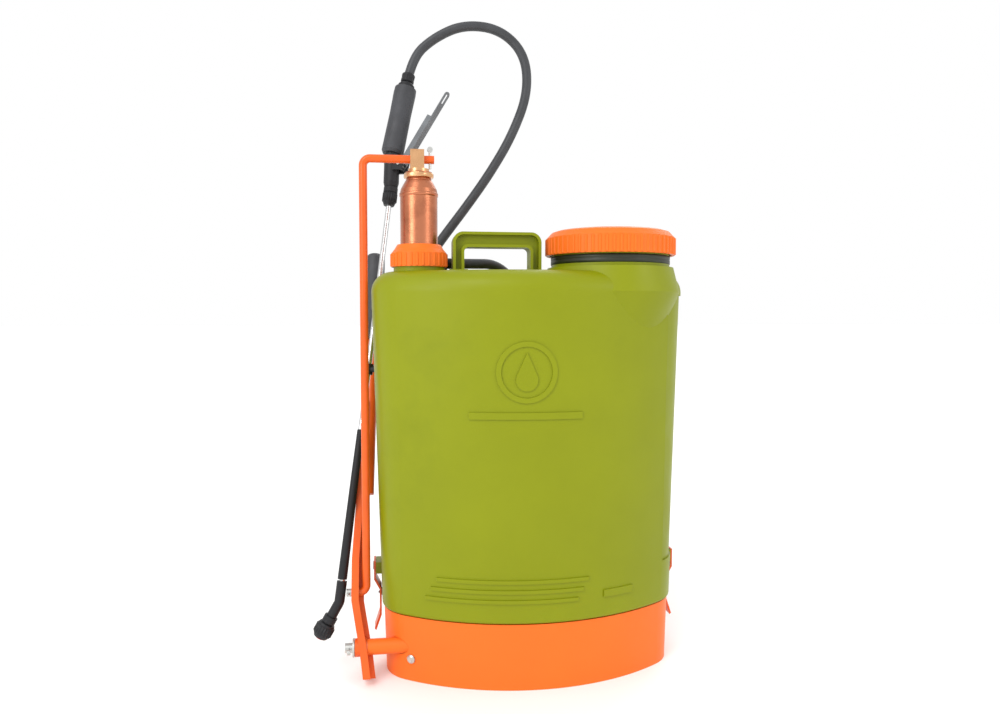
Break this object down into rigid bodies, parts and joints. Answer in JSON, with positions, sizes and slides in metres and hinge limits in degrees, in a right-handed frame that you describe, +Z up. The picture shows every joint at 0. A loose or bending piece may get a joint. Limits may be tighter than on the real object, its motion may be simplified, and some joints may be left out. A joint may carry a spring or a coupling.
{
  "type": "knapsack sprayer",
  "caption": "Back-carried liquid sprayer: bowed tank on a skirted base, side lever working a piston pump through an outside link rod, screw filler cap, hose and hand lance.",
  "frame": {"origin": "centre of the base's flat foot, under the middle of the tank", "axes": "+X towards the filler cap, +Y towards the wearer, +Z up"},
  "size_m": [0.4745, 0.2876, 0.8652],
  "materials": {
    "base": "moulded orange",
    "black_plastic": "moulded black",
    "brass": "turned brass",
    "cap": "moulded orange, ribbed",
    "copper": "drawn copper, slightly tarnished",
    "grip": "soft black grip",
    "hose_rubber": "grey-black hose",
    "lever_paint": "orange enamel",
    "pad_fabric": "padded cloth",
    "rubber": "black rubber",
    "stainless": "drawn stainless",
    "steel": "zinc plated",
    "strap_fabric": "woven webbing",
    "tank": "moulded lime green",
    "trigger_metal": "grey enamel",
    "white_plastic": "natural plastic"
  },
  "bodies": {
    "frame": {"base_skirt": "base", "bracket_bolts": "steel", "bracket_screw": "steel", "carry_handle": "tank", "delivery_pipe": "white_plastic", "filler_strainer": "white_plastic", "foot_strainer": "white_plastic", "gland_seal": "rubber", "hand_grip": "grip", "handle_filter": "white_plastic", "hose": "hose_rubber", "hose_nut": "black_plastic", "inlet_valve_seat": "white_plastic", "lance_clip_lower": "black_plastic", "lance_clip_upper": "black_plastic", "lance_nut": "brass", "lance_tube": "stainless", "nozzle_body": "brass", "nozzle_elbow": "brass", "outlet_back_nut": "brass", "outlet_elbow": "black_plastic", "outlet_nut": "brass", "pivot_shaft": "steel", "pivot_split_pin": "steel", "pivot_washer": "steel", "pump_cap": "cap", "pump_cylinder": "brass", "pump_gasket": "rubber", "shaft_bracket": "steel", "shaft_sleeve": "base", "skirt_screw": "steel", "strap_anchors": "black_plastic", "strap_bracket_left": "lever_paint", "strap_bracket_right": "lever_paint", "strap_buckles": "black_plastic", "strap_pad_left": "pad_fabric", "strap_pad_right": "pad_fabric", "strap_webbing": "strap_fabric", "tank_shell": "tank", "trigger_pin": "steel", "valve_body": "black_plastic"},
    "lever": {"lever_channel": "lever_paint", "crank_pin": "steel", "crank_split_pin": "steel", "lever_tube": "lever_paint", "lever_grip": "grip"},
    "plunger": {"air_chamber": "copper", "top_block": "brass", "piston": "white_plastic", "piston_cup": "rubber"},
    "rod": {"link_rod": "lever_paint", "rod_split_pin": "steel"},
    "cap_lift": {"filler_gasket": "rubber"},
    "cap": {"filler_cap": "cap", "cap_vent": "white_plastic"},
    "trigger": {"trigger": "trigger_metal"},
    "spindle": {"valve_spindle": "brass"},
    "nozzle": {"nozzle_cap": "black_plastic"},
    "inlet_ball": {"inlet_ball": "rubber"}
  },
  "joints": [
    {"name": "lever_swing", "type": "hinge", "parent": "frame", "child": "lever", "pos_m": [-0.215, -0.02503, 0.041], "axis": [-1, 0, 0], "range_deg": [0, 65]},
    {"name": "pump_stroke", "type": "slide", "parent": "frame", "child": "plunger", "axis": [0, 0, 1], "range_m": [-0.0595, 0.0003]},
    {"name": "link_rod_swing", "type": "hinge", "parent": "plunger", "child": "rod", "pos_m": [-0.208, 0, 0.641], "axis": [1, 0, 0], "range_deg": [-0.1, 4.4]},
    {"name": "filler_cap_lift", "type": "slide", "parent": "frame", "child": "cap_lift", "axis": [0, 0, 1], "range_m": [0, 0.0301]},
    {"name": "filler_cap_turn", "type": "hinge", "parent": "cap_lift", "child": "cap", "pos_m": [0.104, 0, 0.54], "axis": [0, 0, 1], "range_deg": [0, 720]},
    {"name": "trigger_squeeze", "type": "hinge", "parent": "frame", "child": "trigger", "pos_m": [-0.1586, 0.1078, 0.652], "axis": [-0.5585, -0.7828, 0.2745], "range_deg": [0, 12], "stiffness_Nm_per_rad": 1, "springref_deg": -20.05},
    {"name": "spindle_stroke", "type": "slide", "parent": "frame", "child": "spindle", "axis": [-0.8053, 0.591, 0.0467], "range_m": [0, 0.004]},
    {"name": "nozzle_turn", "type": "hinge", "parent": "frame", "child": "nozzle", "pos_m": [-0.25206, 0.00401, 0.071], "axis": [-0.498, -0.0433, -0.8661], "range_deg": [0, 360]},
    {"name": "inlet_ball_lift", "type": "slide", "parent": "frame", "child": "inlet_ball", "axis": [0, 0, 1], "range_m": [0, 0.008]}
  ],
  "couplings": [
    {"joint": "pump_stroke", "follows": "lever_swing", "m_per_rad": -0.05206},
    {"joint": "link_rod_swing", "follows": "lever_swing", "ratio": 0.06589},
    {"joint": "filler_cap_lift", "follows": "filler_cap_turn", "m_per_rad": 0.0023873},
    {"joint": "spindle_stroke", "follows": "trigger_squeeze", "m_per_rad": 0.019}
  ]
}
